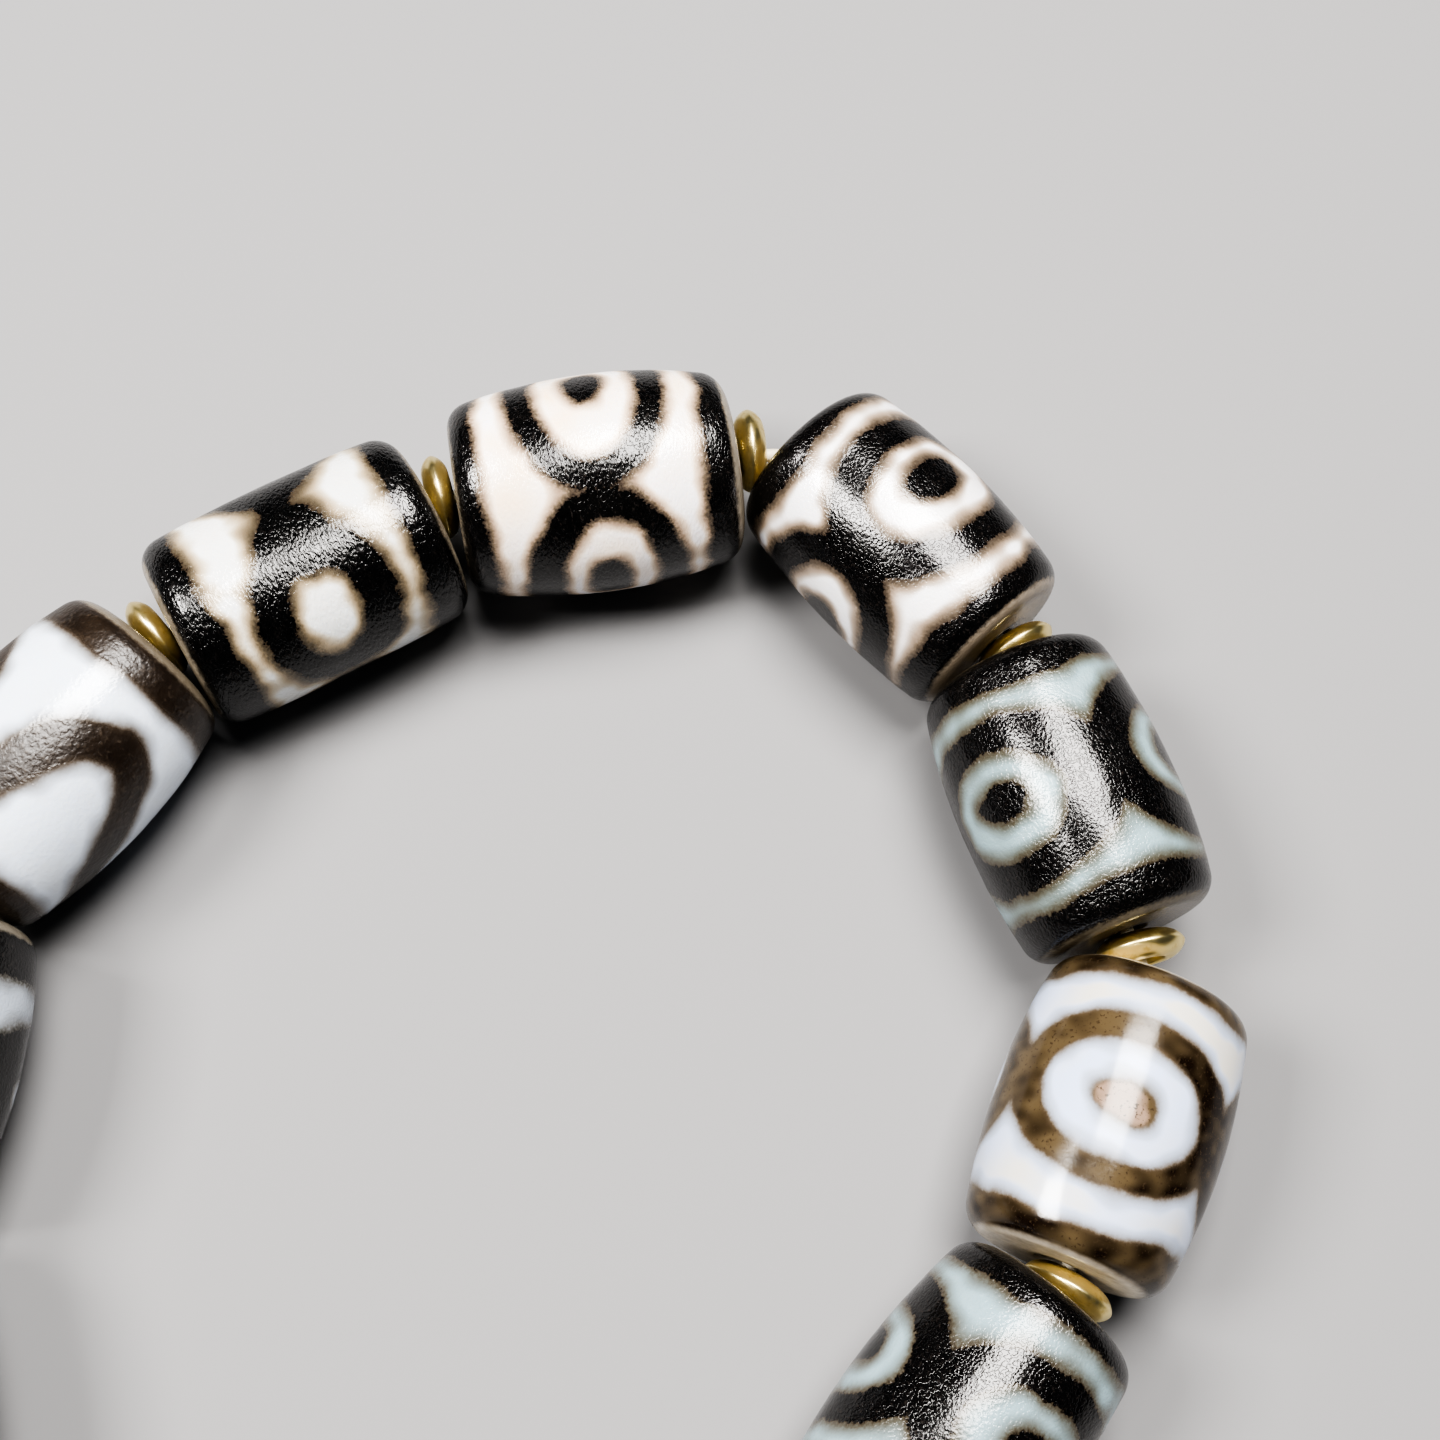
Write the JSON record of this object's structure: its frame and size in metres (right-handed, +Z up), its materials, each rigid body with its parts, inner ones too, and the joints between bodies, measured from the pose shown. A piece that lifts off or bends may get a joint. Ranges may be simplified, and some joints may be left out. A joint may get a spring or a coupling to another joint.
{
  "type": "agate bead bracelet",
  "caption": "Closed loop of drilled barrel beads in banded agate with brass spacer discs between them, strung on elastic thread, lying flat.",
  "frame": {"origin": "on the surface that the bracelet lies on, under the middle of its outline", "axes": "+Z up and along the wrist, +Y along the long way of the oval loop, +X across it"},
  "size_m": [0.0775, 0.0866, 0.013],
  "materials": {
    "agate": "polished white agate with etched black-brown stripes and eyes",
    "brass": "polished",
    "elastic": "satin"
  },
  "bodies": {
    "root": {"agate_bead_01": "agate", "agate_bead_02": "agate", "agate_bead_03": "agate", "agate_bead_04": "agate", "agate_bead_05": "agate", "agate_bead_06": "agate", "agate_bead_07": "agate", "agate_bead_08": "agate", "agate_bead_09": "agate", "agate_bead_10": "agate", "agate_bead_11": "agate", "agate_bead_12": "agate", "brass_spacer_01": "brass", "brass_spacer_02": "brass", "brass_spacer_03": "brass", "brass_spacer_04": "brass", "brass_spacer_05": "brass", "brass_spacer_06": "brass", "brass_spacer_07": "brass", "brass_spacer_08": "brass", "brass_spacer_09": "brass", "brass_spacer_10": "brass", "brass_spacer_11": "brass", "brass_spacer_12": "brass", "elastic_thread": "elastic"}
  },
  "joints": []
}
